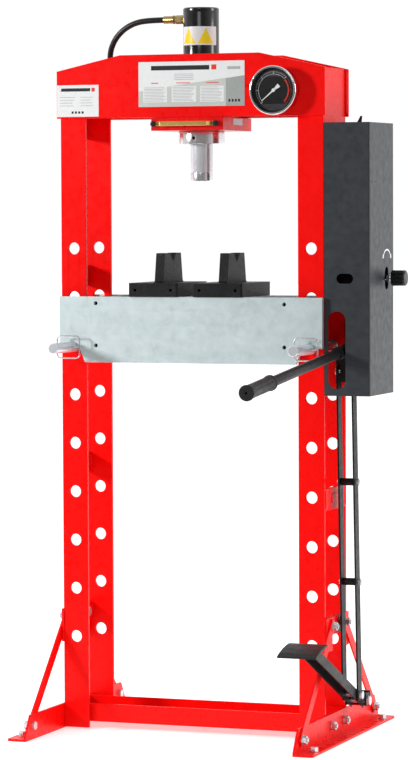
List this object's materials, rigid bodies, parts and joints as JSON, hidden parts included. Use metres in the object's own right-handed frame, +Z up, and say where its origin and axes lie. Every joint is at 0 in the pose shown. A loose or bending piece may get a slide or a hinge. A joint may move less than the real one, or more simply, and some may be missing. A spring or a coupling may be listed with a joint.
{
  "type": "hydraulic shop press",
  "caption": "H-frame hydraulic shop press with a sliding ram unit, a pinned height-set bed, V-blocks, a side pump with hand lever and foot pedal, a hose and a pressure gauge.",
  "frame": {"origin": "on the floor, midway between the uprights and midway between their front and rear bars", "axes": "+X to the pump side (the right seen from the front), +Y to the back, +Z up"},
  "size_m": [0.821, 0.9796, 1.628],
  "materials": {
    "red_paint": "glossy powder coat",
    "dark_red_paint": "glossy powder coat",
    "grey_paint": "semi-gloss powder coat",
    "black_steel": "satin black paint",
    "zinc_plate": "bright zinc plate",
    "brushed_steel": "turned",
    "spring_steel": "drawn wire",
    "chrome": "polished",
    "cast_iron": "painted casting",
    "brass": "turned",
    "rubber": "moulded",
    "hose_rubber": "smooth",
    "plastic": "moulded",
    "glass": "clear",
    "dial": "printed",
    "pointer_white": "matte"
  },
  "bodies": {
    "frame": {"left_upright_bars": "red_paint", "right_upright_bars": "red_paint", "crown_front_plate": "red_paint", "crown_rear_plate": "red_paint", "crown_rails": "red_paint", "tie_plates": "red_paint", "base_angles": "red_paint", "cross_channel": "red_paint", "side_braces": "red_paint", "frame_bolts": "zinc_plate", "foot_bolts": "zinc_plate", "pump_housing": "grey_paint", "pump_mount": "black_steel", "pivot_pins": "zinc_plate", "oil_tank": "black_steel", "filler_plug": "plastic", "pump_body": "cast_iron", "pump_barrel": "brushed_steel", "pump_hose_fitting": "brass", "pedal_bracket": "black_steel", "gauge_case": "chrome", "gauge_rim": "chrome", "gauge_glass": "glass", "gauge_dial": "dial", "gauge_stem": "brass", "hydraulic_hose": "hose_rubber"},
    "carriage": {"carriage_block": "dark_red_paint", "carriage_handle": "brass", "carriage_screws": "black_steel", "cylinder_tube": "black_steel", "cylinder_cap": "black_steel", "ram_collar": "brushed_steel", "cylinder_hose_fitting": "brass"},
    "ram": {"ram_rod": "chrome", "ram_nose": "brushed_steel", "ram_piston": "brushed_steel", "piston_seal": "rubber", "return_spring": "spring_steel"},
    "bed": {"bed_plates": "zinc_plate", "bed_spacers": "black_steel"},
    "left_block": {"left_v_block": "cast_iron"},
    "right_block": {"right_v_block": "cast_iron"},
    "left_pin": {"left_bed_pin": "chrome"},
    "right_pin": {"right_bed_pin": "chrome"},
    "left_clip": {"left_pin_clip": "spring_steel"},
    "right_clip": {"right_pin_clip": "spring_steel"},
    "lever": {"lever_rocker": "black_steel", "rocker_eye_bolt": "zinc_plate", "lever_tube": "black_steel", "lever_grip": "rubber"},
    "links": {"link_bars": "black_steel", "link_spacers": "black_steel", "link_bolts": "zinc_plate"},
    "pedal": {"pedal_arm": "black_steel", "pedal_eye_bolt": "zinc_plate", "pedal_pad": "black_steel"},
    "plunger": {"pump_plunger": "chrome"},
    "valve": {"release_valve": "chrome", "valve_knob": "plastic"},
    "pointer": {"gauge_pointer": "pointer_white"}
  },
  "joints": [
    {"name": "carriage_slide", "type": "slide", "parent": "frame", "child": "carriage", "axis": [1, 0, 0], "range_m": [-0.03, 0.03], "deforming": ["hydraulic_hose"]},
    {"name": "ram_stroke", "type": "slide", "parent": "carriage", "child": "ram", "axis": [0, 0, -1], "range_m": [0, 0.15], "stiffness_N_per_m": 1500, "springref_m": -0.08, "deforming": ["return_spring"]},
    {"name": "bed_lift", "type": "slide", "parent": "frame", "child": "bed", "axis": [0, 0, 1], "range_m": [0, 0.06]},
    {"name": "left_block_slide", "type": "slide", "parent": "bed", "child": "left_block", "axis": [-1, 0, 0], "range_m": [0, 0.1]},
    {"name": "right_block_slide", "type": "slide", "parent": "bed", "child": "right_block", "axis": [1, 0, 0], "range_m": [0, 0.1]},
    {"name": "left_pin_slide", "type": "slide", "parent": "frame", "child": "left_pin", "axis": [0, -1, 0], "range_m": [0, 0.25]},
    {"name": "right_pin_slide", "type": "slide", "parent": "frame", "child": "right_pin", "axis": [0, -1, 0], "range_m": [0, 0.25]},
    {"name": "left_clip_turn", "type": "hinge", "parent": "left_pin", "child": "left_clip", "pos_m": [-0.282, -0.114, 0.8688], "axis": [1, 0, 0], "range_deg": [-35, 35]},
    {"name": "right_clip_turn", "type": "hinge", "parent": "right_pin", "child": "right_clip", "pos_m": [0.282, -0.114, 0.8688], "axis": [1, 0, 0], "range_deg": [-35, 35]},
    {"name": "lever_turn", "type": "hinge", "parent": "frame", "child": "lever", "pos_m": [0.3425, 0.015, 0.822], "axis": [1, 0, 0], "range_deg": [-22, 22]},
    {"name": "link_turn", "type": "hinge", "parent": "lever", "child": "links", "pos_m": [0.3425, -0.015, 0.818], "axis": [1, 0, 0], "range_deg": [-23, 23]},
    {"name": "pedal_turn", "type": "hinge", "parent": "frame", "child": "pedal", "pos_m": [0.3425, 0.058, 0.0745], "axis": [1, 0, 0], "range_deg": [-19, 19]},
    {"name": "plunger_stroke", "type": "slide", "parent": "frame", "child": "plunger", "axis": [0, 0, 1], "range_m": [-0.0118, 0.0118]},
    {"name": "valve_turn", "type": "hinge", "parent": "frame", "child": "valve", "pos_m": [0.4, 0.047, 1.023], "axis": [1, 0, 0], "range_deg": [0, 360]},
    {"name": "pointer_turn", "type": "hinge", "parent": "frame", "child": "pointer", "pos_m": [0.2075, -0.111, 1.4375], "axis": [0, 1, 0], "range_deg": [0, 270], "stiffness_Nm_per_rad": 0.0005, "springref_deg": -28.65}
  ],
  "couplings": [
    {"joint": "link_turn", "follows": "lever_turn", "ratio": -1.026},
    {"joint": "pedal_turn", "follows": "lever_turn", "ratio": 0.856},
    {"joint": "plunger_stroke", "follows": "lever_turn", "m_per_rad": 0.03}
  ]
}
